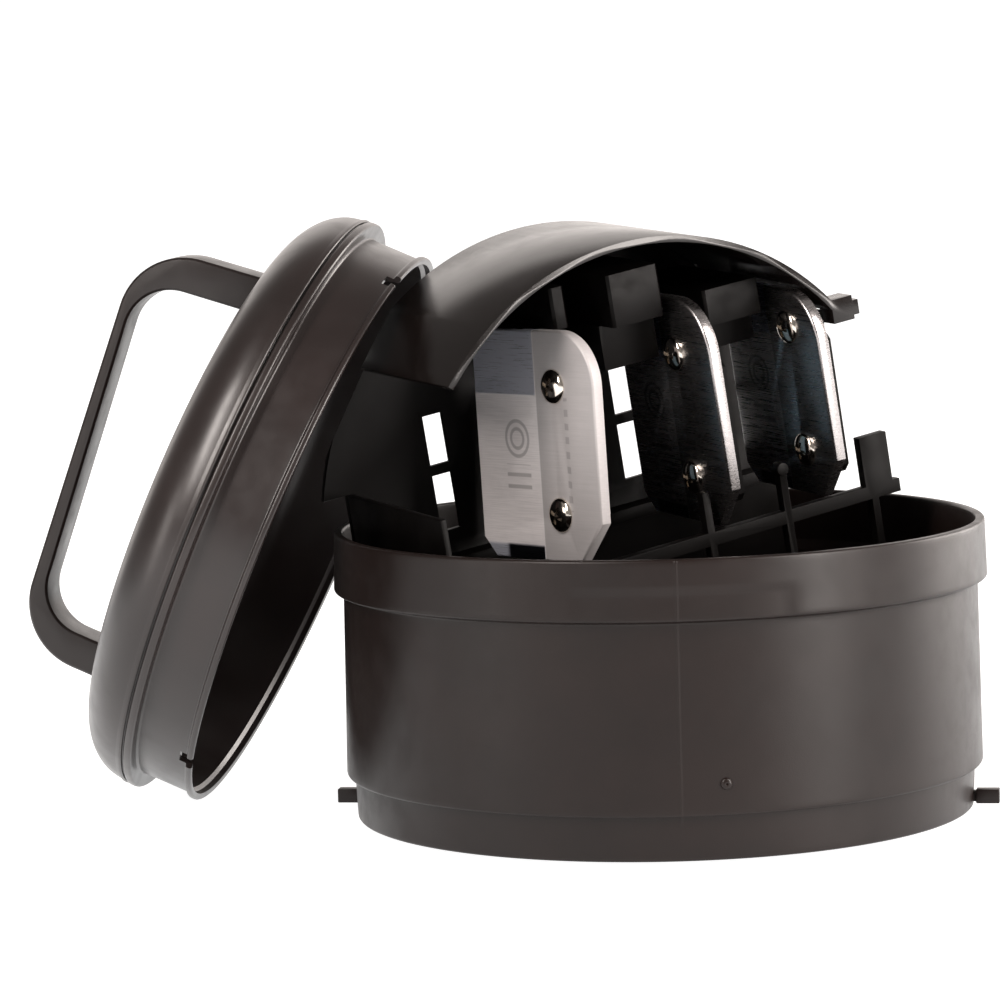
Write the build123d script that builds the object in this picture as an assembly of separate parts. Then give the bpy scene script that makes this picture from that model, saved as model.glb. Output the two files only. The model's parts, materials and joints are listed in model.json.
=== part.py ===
from build123d import *
import os
from math import sin, cos, radians, sqrt

# Bait station laid open: a round tub, its lid leaning beside it, and a carrier
# standing on edge in the tub with three draw-out bait cassettes. Millimetres,
# +Z up, origin on the floor under the tub's own axis.

# Tub
COLLAR_RADIUS = 120.0
COLLAR_HEIGHT = 22.0
BODY_RADIUS = 117.0
BASE_RADIUS = 115.0
BASE_HEIGHT = 17.0
TUB_HEIGHT = 107.5
TUB_WALL = 3.0
TUB_FLOOR = 3.0
RIM_OPENING_RADIUS = 115.7
PANEL_HALF_ANGLE = 22.0
PANEL_DEPTH = 0.5
PEG_SIZE = 5.2
PEG_REACH = 8.5
PEG_CENTRE_Z = 5.0
PEG_TURN = -10.0

# Lid, in its own frame: x up the slope, z out of the dome
LID_CENTRE = (-129.0, 51.6, 102.0)
LID_AXIS = (-0.903, 0.145, 0.404)
LID_UP = (0.399, -0.064, 0.9147)
LIP_RADIUS = 111.5
WAIST_RADIUS = 110.2
SKIRT_DEPTH = 22.0
RIDGE_RADIUS = 115.8
DOME_TOP = 49.6
CROWN_EDGE_RADIUS = 92.0
CROWN_EDGE_Z = 47.6
LID_WALL = 2.3
NOTCH_WIDTH = 7.0
NOTCH_DEPTH = 5.0

# Handle strap across the dome
HANDLE_LOW_X = -84.5
HANDLE_HIGH_X = 84.8
HANDLE_LEAN = 8.0
GRIP_LOW_Z = 90.5
GRIP_HIGH_Z = 101.0
HANDLE_WIDTH = 20.0
GRIP_THICKNESS = 5.0
ARM_THICKNESS = 13.0
HANDLE_CORNER = 26.0
HANDLE_SCREW_RADIUS = 2.0

# Carrier, in its own frame: x out of its open face, z up its slots
CARRIER_CENTRE = (2.4, -18.0, 108.3)
CARRIER_TURN = 62.0
CARRIER_ROLL = 10.0
CARRIER_PITCH = -2.5
DRUM_RADIUS = 105.0
DRUM_WALL = 2.4
DRUM_DEPTH = 77.0
BACK_THICKNESS = 2.4
FLAT_SIDE_Y = -90.0
FLAT_RIGHT_Y = 94.0
LID_CLEARANCE = 0.8
FLAT_SIDE_TOP = 24.0
HOOD_START = 36.0
HOOD_END = 138.0
TROUGH_START = 208.0
TROUGH_END = 318.0
WINDOW_WIDTH = 8.4
WINDOW_LOW = 0.8
WINDOW_HIGH = 45.2
WINDOW_BAR = 3.8
WINDOW_BAR_Z = 24.2
WINDOW_FIRST_Y = -50.0
WINDOW_PITCH = 40.2
RAIL_TOP = -8.3
RAIL_HEIGHT = 5.0
RAIL_DEPTH = 4.0
UPRIGHT_WIDTH = 3.0
UPRIGHTS = ((-63.0, RAIL_TOP), (-25.0, RAIL_TOP), (18.0, 7.0), (51.5, 7.5))
TAB_LOW_Y = 86.0
TAB_HIGH_Y = 98.0
TAB_TOP = 10.5
# Guide blocks in the carrier frame: y from, y to, z from, z to, front face x
BLOCKS = ((-20.5, -13.0, 62.0, 90.0, -25.5), (-3.6, 19.5, 56.0, 92.0, -12.0),
          (39.0, 64.5, 52.0, 76.0, -19.0))

# Cassettes: face plate lower front corner in the carrier frame, plate height
PLATE_LENGTHS = (70.0, 65.5, 65.5)
PLATE_THICKNESS = 4.5
PLATE_CORNER = 20.0
PLATE_CHAMFER = 13.0
PLATE_REAR_CHAMFER = 7.0
CASSETTE_1_AT = (9.6, -33.2, -6.2)
CASSETTE_1_TURN = 52.3
CASSETTE_1_ROLL = 2.0
CASSETTE_1_PITCH = 1.0
CASSETTE_1_HEIGHT = 84.5
CASSETTE_2_AT = (9.6, 23.0, -7.6)
CASSETTE_2_HEIGHT = 85.5
CASSETTE_3_AT = (9.6, 69.0, -7.9)
CASSETTE_3_HEIGHT = 78.6
SCREW_SETBACKS = (23.0, 26.0, 20.5)
SCREW_LOW = 17.3
SCREW_SPACING = 47.0
SCREW_HEAD_RADIUS = 6.5
SCREW_HEAD_HEIGHT = 2.6
SCREW_SHANK = 2.0
TRAY_THICKNESS = 10.0
TRAY_BACK = -66.0
TRAY_FRONT = -15.0
TRAY_LOW = 6.0
TRAY_HIGH = 60.0
TRAY_WALL = 2.5
TRAY_POCKET_FRONT = -32.5
ROD_RADIUS = 1.5


def dir_frame(origin, turn, roll, pitch=0.0):
    """Frame whose x axis points out of an open face, turned, pitched and rolled."""
    t, r, p = radians(turn), radians(roll), radians(pitch)
    out = Vector(cos(t) * cos(p), -sin(t) * cos(p), sin(p))
    side = Vector(sin(t), cos(t), 0)
    up = out.cross(side)
    tilted = up * cos(r) - side * sin(r)
    return Plane(origin=origin, x_dir=out, z_dir=tilted)


def span_box(x0, x1, y0, y1, z0, z1):
    """Box given by its two corners."""
    size = Box(x1 - x0, y1 - y0, z1 - z0)
    return size.moved(Location(((x0 + x1) / 2, (y0 + y1) / 2, (z0 + z1) / 2)))


def revolved(points):
    """Solid of revolution about Z from a closed r, z outline."""
    outline = Polyline(*[(r, 0, z) for r, z in points], close=True)
    return revolve(make_face(outline), Axis.Z)


def drum_rod(radius, x0, x1):
    """Cylinder lying along the carrier's x axis."""
    rod = Cylinder(radius, x1 - x0, rotation=(0, 90, 0))
    return rod.moved(Location(((x0 + x1) / 2, 0, 0)))


def wedge(x0, x1, start, end, reach=300.0):
    """Sector about the carrier's x axis between two angles, used as a cutter."""
    steps = [start + (end - start) * k / 8 for k in range(9)]
    edge = [(0, 0)] + [(reach * cos(radians(a)), reach * sin(radians(a))) for a in steps]
    face = make_face(Polyline(*[(x0, y, z) for y, z in edge], close=True))
    return extrude(face, x1 - x0, dir=(1, 0, 0))


CARRIER = dir_frame(CARRIER_CENTRE, CARRIER_TURN, CARRIER_ROLL, CARRIER_PITCH)
LID = Plane(origin=LID_CENTRE, x_dir=LID_UP, z_dir=LID_AXIS)


def carrier_point(x, y, z):
    """World position of a point given in the carrier frame."""
    return CARRIER.from_local_coords(Vector(x, y, z))


CASSETTES = (
    (dir_frame(carrier_point(*CASSETTE_1_AT), CASSETTE_1_TURN, CASSETTE_1_ROLL,
               CASSETTE_1_PITCH), CASSETTE_1_HEIGHT),
    (dir_frame(carrier_point(*CASSETTE_2_AT), CARRIER_TURN, CARRIER_ROLL,
               CARRIER_PITCH), CASSETTE_2_HEIGHT),
    (dir_frame(carrier_point(*CASSETTE_3_AT), CARRIER_TURN, CARRIER_ROLL,
               CARRIER_PITCH), CASSETTE_3_HEIGHT),
)


def peg_bars(inside, outside, size):
    """Two square bars pointing out of the tub's foot on opposite sides."""
    bars = []
    for turn in (PEG_TURN, PEG_TURN + 180):
        bar = span_box(inside, outside, -size / 2, size / 2,
                       PEG_CENTRE_Z - size / 2, PEG_CENTRE_Z + size / 2)
        bars.append(bar.rotate(Axis.Z, turn))
    return bars


def tub_shell():
    collar_z = TUB_HEIGHT - COLLAR_HEIGHT
    inner = BODY_RADIUS - TUB_WALL
    foot = BASE_RADIUS - TUB_WALL
    tub = revolved([
        (0, 0), (BASE_RADIUS - 2, 0), (BASE_RADIUS - 0.6, 0.6), (BASE_RADIUS, 2),
        (BASE_RADIUS, BASE_HEIGHT), (BODY_RADIUS, BASE_HEIGHT + 1),
        (BODY_RADIUS, collar_z - 1), (COLLAR_RADIUS, collar_z + 0.6),
        (COLLAR_RADIUS, TUB_HEIGHT - 1.6), (COLLAR_RADIUS - 0.5, TUB_HEIGHT - 0.5),
        (COLLAR_RADIUS - 1.6, TUB_HEIGHT), (RIM_OPENING_RADIUS + 1.2, TUB_HEIGHT),
        (RIM_OPENING_RADIUS + 0.3, TUB_HEIGHT - 0.4), (RIM_OPENING_RADIUS, TUB_HEIGHT - 1.2),
        (RIM_OPENING_RADIUS, TUB_HEIGHT - 20), (inner, TUB_HEIGHT - 24),
        (inner, BASE_HEIGHT), (foot, BASE_HEIGHT - 3), (foot, TUB_FLOOR + 1.5),
        (foot - 1.5, TUB_FLOOR), (0, TUB_FLOOR),
    ])
    # Shallow blank panel on the front of the collar
    panel = Cylinder(COLLAR_RADIUS + 2, 11) - Cylinder(COLLAR_RADIUS - PANEL_DEPTH, 11)
    panel = panel.moved(Location((0, 0, collar_z + 6.8)))
    reach = COLLAR_RADIUS + 20
    side = reach * sin(radians(PANEL_HALF_ANGLE))
    front = reach * cos(radians(PANEL_HALF_ANGLE))
    pie = make_face(Polyline((0, 0, 0), (-side, -front, 0), (side, -front, 0), close=True))
    panel &= extrude(pie, TUB_HEIGHT, dir=(0, 0, 1)).rotate(Axis.Z, -4)
    tub -= panel
    for hole in peg_bars(BASE_RADIUS - 8, BASE_RADIUS + 2, PEG_SIZE - 1.4):
        tub -= hole
    return tub


def side_pegs():
    shanks = peg_bars(BASE_RADIUS - TUB_WALL, BASE_RADIUS + 2, PEG_SIZE - 1.4)
    heads = peg_bars(BASE_RADIUS - 2, BASE_RADIUS + PEG_REACH, PEG_SIZE)
    wall = revolved([(0, 0), (BASE_RADIUS, 0), (BASE_RADIUS, 16), (0, 16)])
    pegs = []
    for shank, head in zip(shanks, heads):
        pegs.append(shank + (head - wall))
    return Compound(pegs)


def lid_outline():
    """Outer r, z points of the lid from its lip to the crown."""
    points = [
        (LIP_RADIUS, 0), (LIP_RADIUS, 1.6), (WAIST_RADIUS, 3.2), (WAIST_RADIUS, SKIRT_DEPTH),
        (RIDGE_RADIUS - 0.6, SKIRT_DEPTH), (RIDGE_RADIUS, SKIRT_DEPTH + 0.7),
        (RIDGE_RADIUS, SKIRT_DEPTH + 2.6), (RIDGE_RADIUS - 1.6, SKIRT_DEPTH + 3.1),
        (RIDGE_RADIUS - 1.6, SKIRT_DEPTH + 4.0), (RIDGE_RADIUS - 0.4, SKIRT_DEPTH + 4.5),
    ]
    low = SKIRT_DEPTH + 5.0
    wide = RIDGE_RADIUS - 0.4 - CROWN_EDGE_RADIUS
    tall = CROWN_EDGE_Z - low
    for k in range(1, 19):
        a = radians(90 * k / 18)
        points.append((CROWN_EDGE_RADIUS + wide * cos(a), low + tall * sin(a)))
    for k in range(1, 9):
        share = k / 8
        height = CROWN_EDGE_Z + (DOME_TOP - CROWN_EDGE_Z) * (1 - (1 - share) ** 2)
        points.append((CROWN_EDGE_RADIUS * (1 - share), height))
    return points


def lid_solid():
    return revolved(lid_outline() + [(0, 0)])


def lid_shell():
    inner = [(LIP_RADIUS - 2.6, -1), (WAIST_RADIUS - LID_WALL, 3.2),
             (WAIST_RADIUS - LID_WALL, SKIRT_DEPTH + 2)]
    low = SKIRT_DEPTH + 4.0
    wide = WAIST_RADIUS - LID_WALL - CROWN_EDGE_RADIUS + 3
    tall = CROWN_EDGE_Z - LID_WALL - low
    for k in range(1, 13):
        a = radians(90 * k / 12)
        inner.append((CROWN_EDGE_RADIUS - 3 + wide * cos(a), low + tall * sin(a)))
    inner += [(40, DOME_TOP - LID_WALL - 0.5), (0, DOME_TOP - LID_WALL), (0, -1)]
    lid = lid_solid() - revolved(inner)
    for turn in (100, 220, 340):
        slot = span_box(LIP_RADIUS - 6, LIP_RADIUS + 3, -NOTCH_WIDTH / 2, NOTCH_WIDTH / 2,
                        -1, NOTCH_DEPTH)
        lid -= slot.rotate(Axis.Z, turn)
    for x in handle_screw_places():
        lid -= Cylinder(HANDLE_SCREW_RADIUS + 0.3, 30).moved(Location((x, 0, 44)))
    return lid.moved(LID.location)


def handle_screw_places():
    return (HANDLE_LOW_X + ARM_THICKNESS / 2, HANDLE_HIGH_X - ARM_THICKNESS / 2 - 2.8)


def handle_outline(inset, grip_inset, foot):
    """Four-sided outline of the handle in its own plane, pulled in for the finger gap."""
    outline = Polyline(
        (HANDLE_LOW_X + inset, 0, foot), (HANDLE_LOW_X + inset, 0, GRIP_LOW_Z - grip_inset),
        (HANDLE_HIGH_X - HANDLE_LEAN - inset, 0, GRIP_HIGH_Z - grip_inset),
        (HANDLE_HIGH_X - inset, 0, foot), close=True)
    return make_face(outline)


def lid_handle():
    outer = extrude(handle_outline(0, 0, 30), HANDLE_WIDTH / 2, dir=(0, 1, 0), both=True)
    outer = fillet(outer.edges().filter_by(Axis.Y).sort_by(Axis.Z)[-2:], HANDLE_CORNER)
    inner = extrude(handle_outline(ARM_THICKNESS, GRIP_THICKNESS, 20), HANDLE_WIDTH,
                    dir=(0, 1, 0), both=True)
    inner = fillet(inner.edges().filter_by(Axis.Y).sort_by(Axis.Z)[-2:], HANDLE_CORNER - 8)
    strap = outer - inner
    strap = chamfer(strap.edges().filter_by(GeomType.LINE).filter_by(
        lambda e: abs(e.center().Y) > HANDLE_WIDTH / 2 - 0.1 and e.center().Z > 52), 0.9)
    strap -= lid_solid()
    for x in handle_screw_places():
        strap -= Cylinder(HANDLE_SCREW_RADIUS, 28).moved(Location((x, 0, 52)))
    return strap.moved(LID.location)


def handle_screws():
    screws = []
    seat = CROWN_EDGE_Z - LID_WALL
    for x in handle_screw_places():
        shank = Cylinder(HANDLE_SCREW_RADIUS, 20,
                         align=(Align.CENTER, Align.CENTER, Align.MIN))
        head = Cylinder(4.2, 2.2, align=(Align.CENTER, Align.CENTER, Align.MAX))
        screw = shank.moved(Location((x, 0, seat - 0.6))) + head.moved(Location((x, 0, seat - 0.6)))
        screws.append(screw)
    return Compound(screws).moved(LID.location)


def shell_band(start, end, x0, x1):
    """Part of the drum's curved wall between two angles."""
    ring = drum_rod(DRUM_RADIUS, x0, x1) - drum_rod(DRUM_RADIUS - DRUM_WALL, x0 - 1, x1 + 1)
    return ring & wedge(x0 - 1, x1 + 1, start, end)


def clear_of_lid(piece):
    """Carrier piece, already in place, cut back where it would reach into the lid."""
    mouth = Box(400, 400, 80, align=(Align.CENTER, Align.CENTER, Align.MIN))
    mouth = mouth.moved(Location((0, 0, -LID_CLEARANCE)))
    return piece - mouth.moved(LID.location)


def carrier_back_plate():
    rear = -DRUM_DEPTH
    front = rear + BACK_THICKNESS
    plate = drum_rod(DRUM_RADIUS - DRUM_WALL, rear, front)
    plate -= span_box(rear - 1, front + 1, -120, FLAT_SIDE_Y, -120, FLAT_SIDE_TOP)
    plate -= span_box(rear - 1, front + 1, FLAT_RIGHT_Y, 120, -120, 120)
    for k in range(4):
        y = WINDOW_FIRST_Y + WINDOW_PITCH * k
        middle = WINDOW_BAR_Z
        low = span_box(rear - 1, front + 1, y - WINDOW_WIDTH / 2, y + WINDOW_WIDTH / 2,
                       WINDOW_LOW, middle - WINDOW_BAR / 2)
        high = span_box(rear - 1, front + 1, y - WINDOW_WIDTH / 2, y + WINDOW_WIDTH / 2,
                        middle + WINDOW_BAR / 2, WINDOW_HIGH)
        plate -= low
        plate -= high
    ledge = span_box(front, front + 8, -86, 92, RAIL_TOP - RAIL_HEIGHT, RAIL_TOP)
    plate += ledge
    for y, z in block_screw_places():
        hole = drum_rod(1.6, rear - 1, front + 1).moved(Location((0, y, z)))
        plate -= hole
    return clear_of_lid(plate.moved(CARRIER.location))


def carrier_hood():
    hood = shell_band(HOOD_START, HOOD_END, -DRUM_DEPTH, 0)
    end = radians(HOOD_START)
    y = DRUM_RADIUS * cos(end)
    z = DRUM_RADIUS * sin(end)
    hood += span_box(-9, 0, y - 2.0, y + 7.0, z - 6.5, z + 2.5)
    hood += span_box(-7, -2, y + 6.8, y + 10.6, z - 5.5, z)
    return clear_of_lid(hood.moved(CARRIER.location))


def carrier_trough():
    band = shell_band(TROUGH_START, TROUGH_END, -DRUM_DEPTH, 0)
    band -= span_box(-DRUM_DEPTH - 1, 1, -120, FLAT_SIDE_Y, -120, 120)
    band -= span_box(-DRUM_DEPTH - 1, -10, FLAT_RIGHT_Y, 120, -120, 120)
    low = -sqrt((DRUM_RADIUS - DRUM_WALL) ** 2 - FLAT_SIDE_Y ** 2)
    wall = span_box(-DRUM_DEPTH, 0, FLAT_SIDE_Y, FLAT_SIDE_Y + DRUM_WALL, low - 3, FLAT_SIDE_TOP)
    wall &= drum_rod(DRUM_RADIUS, -DRUM_DEPTH, 0)
    rear = drum_rod(DRUM_RADIUS - DRUM_WALL, -DRUM_DEPTH, -DRUM_DEPTH + BACK_THICKNESS)
    return clear_of_lid((band + wall - rear).moved(CARRIER.location))


def front_grille():
    inner = DRUM_RADIUS - DRUM_WALL
    left = FLAT_SIDE_Y + DRUM_WALL
    grille = span_box(-RAIL_DEPTH, 0, left, 101, RAIL_TOP - RAIL_HEIGHT, RAIL_TOP)
    grille += span_box(-RAIL_DEPTH, 0, left, inner, -54, -50)
    for y, top in UPRIGHTS:
        grille += span_box(-RAIL_DEPTH, 0, y - UPRIGHT_WIDTH / 2, y + UPRIGHT_WIDTH / 2,
                           -inner, top)
    grille += span_box(-RAIL_DEPTH, 0, TAB_LOW_Y, TAB_HIGH_Y, RAIL_TOP - RAIL_HEIGHT, TAB_TOP)
    grille += span_box(-RAIL_DEPTH, 0, 88, 91, -inner, RAIL_TOP)
    y, top = UPRIGHTS[-1]
    grille += drum_rod(2.4, -RAIL_DEPTH, 0.6).moved(Location((0, y, top)))
    grille &= drum_rod(inner, -RAIL_DEPTH - 1, 2)
    return grille.moved(CARRIER.location)


def block_screw_places():
    return ((-16.8, 76.0), (9.0, 66.0), (9.0, 84.0), (52.0, 60.0), (52.0, 74.0))


def guide_blocks():
    """Three stepped blocks standing off the back plate between the cassettes."""
    rear = -DRUM_DEPTH + BACK_THICKNESS
    blocks = []
    for y0, y1, z0, z1, face in BLOCKS:
        split = z0 + (z1 - z0) * 0.5
        block = span_box(rear, face - 9, y0, y1, z0, split - 1.2)
        block += span_box(rear, face, y0 + 1.5, y1, split - 1.5, z1)
        block = chamfer(block.edges().filter_by(Axis.Z).group_by(Axis.X)[-1], 1.0)
        for y, z in block_screw_places():
            block -= drum_rod(1.3, rear - 1, rear + 12).moved(Location((0, y, z)))
        blocks.append(block)
    return Compound(blocks).moved(CARRIER.location)


def block_screws():
    rear = -DRUM_DEPTH
    screws = []
    for y, z in block_screw_places():
        shank = drum_rod(1.3, rear - 0.2, rear + BACK_THICKNESS + 10)
        head = drum_rod(2.8, rear - 1.6, rear)
        screws.append((shank + head).moved(Location((0, y, z))))
    return Compound(screws).moved(CARRIER.location)


def plate_screw_heights():
    return (SCREW_LOW, SCREW_LOW + SCREW_SPACING)


def across(radius, y0, y1, x, z):
    """Cylinder along a cassette's y axis."""
    rod = Cylinder(radius, y1 - y0, rotation=(90, 0, 0))
    return rod.moved(Location((x, (y0 + y1) / 2, z)))


def face_plate(frame, height, length, setback):
    edge = Polyline(
        (-length, 0, PLATE_REAR_CHAMFER), (-length + PLATE_REAR_CHAMFER, 0, 0),
        (-PLATE_CHAMFER, 0, 0), (0, 0, PLATE_CHAMFER * 1.15), (0, 0, height),
        (-length, 0, height), close=True)
    plate = extrude(make_face(edge), PLATE_THICKNESS, dir=(0, 1, 0))
    corners = plate.edges().filter_by(Axis.Y).sort_by(lambda e: e.center().X + e.center().Z)
    plate = fillet(corners[-1], PLATE_CORNER)
    plate = chamfer(plate.edges().group_by(Axis.Y)[0], 0.6)
    for z in plate_screw_heights():
        plate -= across(SCREW_SHANK + 0.3, -1, PLATE_THICKNESS + 1, -setback, z)
    return plate.moved(frame.location)


def face_screws(frame, height, length, setback):
    screws = []
    for z in plate_screw_heights():
        dome = Sphere(SCREW_HEAD_RADIUS * 1.6)
        drop = SCREW_HEAD_RADIUS * 1.6 - SCREW_HEAD_HEIGHT
        dome = dome.moved(Location((-setback, drop, z)))
        head = across(SCREW_HEAD_RADIUS, -SCREW_HEAD_HEIGHT, 0, -setback, z) & dome
        for turn in (35, 125):
            groove = Box(7.0, 1.6, 1.3)
            groove = groove.rotate(Axis.Y, turn)
            head -= groove.moved(Location((-setback, -SCREW_HEAD_HEIGHT, z)))
        shank = across(SCREW_SHANK, -0.1, PLATE_THICKNESS + 7, -setback, z)
        screws.append(head + shank)
    return Compound(screws).moved(frame.location)


def rod_place():
    return ((TRAY_BACK + TRAY_POCKET_FRONT) / 2, PLATE_THICKNESS + TRAY_THICKNESS / 2 + 1)


def bait_tray(frame, height, length, setback):
    back = PLATE_THICKNESS
    tray = span_box(TRAY_BACK, TRAY_FRONT, back, back + TRAY_THICKNESS, TRAY_LOW, TRAY_HIGH)
    tray = chamfer(tray.edges().filter_by(Axis.Y), 3)
    tray -= span_box(TRAY_BACK + TRAY_WALL, TRAY_POCKET_FRONT, back + TRAY_WALL, back + 20,
                     TRAY_LOW + 3, TRAY_HIGH - 3)
    for z in plate_screw_heights():
        if z < TRAY_HIGH:
            tray -= across(SCREW_SHANK, back - 1, back + 7, -setback, z)
    ear = span_box(-setback - 5.9, -setback + 6, back, back + 8, TRAY_HIGH - 4,
                   SCREW_LOW + SCREW_SPACING + 4.2)
    ear -= across(SCREW_SHANK, back - 1, back + 7, -setback, SCREW_LOW + SCREW_SPACING)
    tray += ear
    x, y = rod_place()
    tray -= Cylinder(ROD_RADIUS, 70).moved(Location((x, y, (TRAY_LOW + TRAY_HIGH) / 2)))
    return tray.moved(frame.location)


def bait_block(frame, height, length, setback):
    back = PLATE_THICKNESS + TRAY_WALL + 0.2
    low = TRAY_LOW + 3.3
    high = TRAY_HIGH - 3.3
    block = span_box(TRAY_BACK + TRAY_WALL + 0.3, TRAY_POCKET_FRONT - 0.3, back, back + 6.6,
                     low, high)
    block = chamfer(block.edges().filter_by(Axis.Z), 0.8)
    for k in range(5):
        z = low + (high - low) * (k + 0.5) / 5
        block -= span_box(TRAY_BACK, TRAY_POCKET_FRONT + 2, back + 5.6, back + 8, z - 1, z + 1)
    x, y = rod_place()
    block -= Cylinder(ROD_RADIUS + 0.3, 70).moved(Location((x, y, (low + high) / 2)))
    return block.moved(frame.location)


def bait_rod(frame, height, length, setback):
    x, y = rod_place()
    rod = Cylinder(ROD_RADIUS, TRAY_HIGH + 3 - TRAY_LOW,
                   align=(Align.CENTER, Align.CENTER, Align.MIN))
    rod = rod.moved(Location((x, y, TRAY_LOW)))
    head = Cylinder(3.2, 2.0, align=(Align.CENTER, Align.CENTER, Align.MIN))
    rod += head.moved(Location((x, y, TRAY_HIGH)))
    return rod.moved(frame.location)


def save(solid, name):
    export_step(solid, os.path.join("parts", name + ".step"))


os.makedirs("parts", exist_ok=True)
for maker in (tub_shell, side_pegs, lid_shell, lid_handle, handle_screws, carrier_back_plate,
              carrier_hood, carrier_trough, front_grille, guide_blocks, block_screws):
    save(maker(), maker.__name__)
for number, (place, tall) in enumerate(CASSETTES, start=1):
    long = PLATE_LENGTHS[number - 1]
    inset = SCREW_SETBACKS[number - 1]
    for maker in (face_plate, face_screws, bait_tray, bait_block, bait_rod):
        save(maker(place, tall, long, inset), f"{maker.__name__}_{number}")
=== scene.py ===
import json
import math

import bmesh
import bpy
from bpy.props import FloatProperty, FloatVectorProperty, IntProperty, PointerProperty
from mathutils import Matrix, Vector


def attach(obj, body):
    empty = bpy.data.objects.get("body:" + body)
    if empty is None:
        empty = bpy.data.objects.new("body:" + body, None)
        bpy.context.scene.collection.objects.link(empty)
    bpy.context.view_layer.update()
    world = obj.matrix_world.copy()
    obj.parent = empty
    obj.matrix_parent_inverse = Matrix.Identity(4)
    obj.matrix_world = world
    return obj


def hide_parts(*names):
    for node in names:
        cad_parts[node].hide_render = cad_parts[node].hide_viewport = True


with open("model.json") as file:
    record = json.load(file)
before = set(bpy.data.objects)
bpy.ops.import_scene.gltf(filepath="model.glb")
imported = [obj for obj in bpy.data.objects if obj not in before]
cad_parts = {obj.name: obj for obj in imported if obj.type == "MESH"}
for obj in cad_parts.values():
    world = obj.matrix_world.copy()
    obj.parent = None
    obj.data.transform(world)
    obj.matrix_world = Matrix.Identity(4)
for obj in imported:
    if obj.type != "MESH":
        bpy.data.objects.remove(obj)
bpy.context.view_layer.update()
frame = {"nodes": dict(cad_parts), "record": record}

bl_info = {
    "name": "Bait Station",
    "version": (1, 0, 0),
    "blender": (4, 5, 0),
    "location": "3D View > Sidebar > Bait Station",
    "description": "Builds a round bait station with a lift-off lid and three bait cassettes",
    "category": "Add Mesh",
}

MM = 0.001


def slot_colour(slot):
    """Base colour that the record gives a material slot."""
    return next(tuple(entry["base_color"][:3]) for entry in frame["record"]["materials"]
                if entry["slot"] == slot)


def open_face_frame(origin, turn, roll, pitch):
    """Frame whose x axis points out of an open face and whose z axis runs up it."""
    t, r, p = (math.radians(a) for a in (turn, roll, pitch))
    out = Vector((math.cos(t) * math.cos(p), -math.sin(t) * math.cos(p), math.sin(p)))
    side = Vector((math.sin(t), math.cos(t), 0))
    up = out.cross(side) * math.cos(r) - side * math.sin(r)
    place = Matrix((out, up.cross(out), up)).transposed().to_4x4()
    place.translation = origin
    return place


# Turn, roll and pitch of the carrier in degrees
CARRIER_ANGLES = (62.0, 10.0, -2.5)
CARRIER = open_face_frame(Vector((2.4, -18.0, 108.3)) * MM, *CARRIER_ANGLES)


def on_carrier(x, y, z):
    """A place in the carrier's frame, given in mm."""
    return CARRIER @ (Vector((x, y, z)) * MM)


# Cassette frames, how far their screws sit back from the front edge, and whether the
# face plate is frosted (1) or polished (0)
CASSETTES = (
    (open_face_frame(on_carrier(9.6, -33.2, -6.2), 52.3, 2.0, 1.0), 23.0, 1.0),
    (open_face_frame(on_carrier(9.6, 23.0, -7.6), *CARRIER_ANGLES), 26.0, 0.0),
    (open_face_frame(on_carrier(9.6, 69.0, -7.9), *CARRIER_ANGLES), 20.5, 0.0),
)
SCREW_HEIGHTS = (17.3, 64.3)
# Places of the guide blocks' screws on the carrier's back plate, as (y, z)
BLOCK_SCREWS = ((-16.8, 76.0), (9.0, 66.0), (9.0, 84.0), (52.0, 60.0), (52.0, 74.0))
DRUM_DEPTH = 77.0

lid_up = Vector((0.399, -0.064, 0.9147)).normalized()
lid_out = Vector((-0.903, 0.145, 0.404)).normalized()
lid_out = (lid_out - lid_up * lid_out.dot(lid_up)).normalized()
LID = Matrix((lid_up, lid_out.cross(lid_up), lid_out)).transposed().to_4x4()
LID.translation = Vector((-129.0, 51.6, 102.0)) * MM

# Tub and lid: lengths in mm, turns about the axis in degrees
TUB_HEIGHT = 107.5
TUB_SEAMS = (270.6, 90.6)
SEAM_HALF_WIDTH = 0.55
PANEL_TURN = 272.0
GATE_MARK_TURN = -81.6
GATE_MARK_HEIGHT = 28.5
GATE_MARK_RADIUS = 116.7
DOME_LOW = 27.6
DOME_CROWN = 47.6
DOME_EDGE = 92.0
DOME_RADIUS = 115.4
NOTCH_TURNS = (100, 220, 340)
NOTCH_SIZE = (9.0, 7.0, 10.0)
NOTCH_RADIUS = 109.5

# Bounds of the zones of a face plate's front that carry painted reflection (the polished bands)
# and painted shade (the foot), in the cassette's frame in metres:
# x runs back from the front edge, z up the plate
PLATE_DIVIDE = -0.0336
PLATE_REFLECTION_BAND_LOW = 0.0604
PLATE_SHADE_FOOT_TOP = 0.0060

# Camera, and the colour of the light
LENS = 161.066
CAMERA_ROLL = math.radians(-1.669)
CAMERA_TARGET = Vector((-0.058024, 0.0, 0.116711))
WARM = (1.0, 0.93, 0.885)


# Sizes and colours -----------------------------------------------------------------------

class BaitStationShape(bpy.types.PropertyGroup):
    edge_radius: FloatProperty(
        name="Edge radius", description="Rounding of the moulded edges",
        default=0.0005, min=0.0001, max=0.002, unit="LENGTH", subtype="DISTANCE")
    turn_steps: IntProperty(
        name="Turn steps", description="Steps round the tub and the lid",
        default=300, min=64, max=480)
    seam_height: FloatProperty(
        name="Seam height", description="How far the mould's parting seam stands proud",
        default=0.00022, min=0.0, max=0.001, unit="LENGTH", subtype="DISTANCE")
    panel_depth: FloatProperty(
        name="Panel depth", description="Depth of the blank panel in the tub's collar",
        default=0.0005, min=0.0, max=0.002, unit="LENGTH", subtype="DISTANCE")


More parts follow.
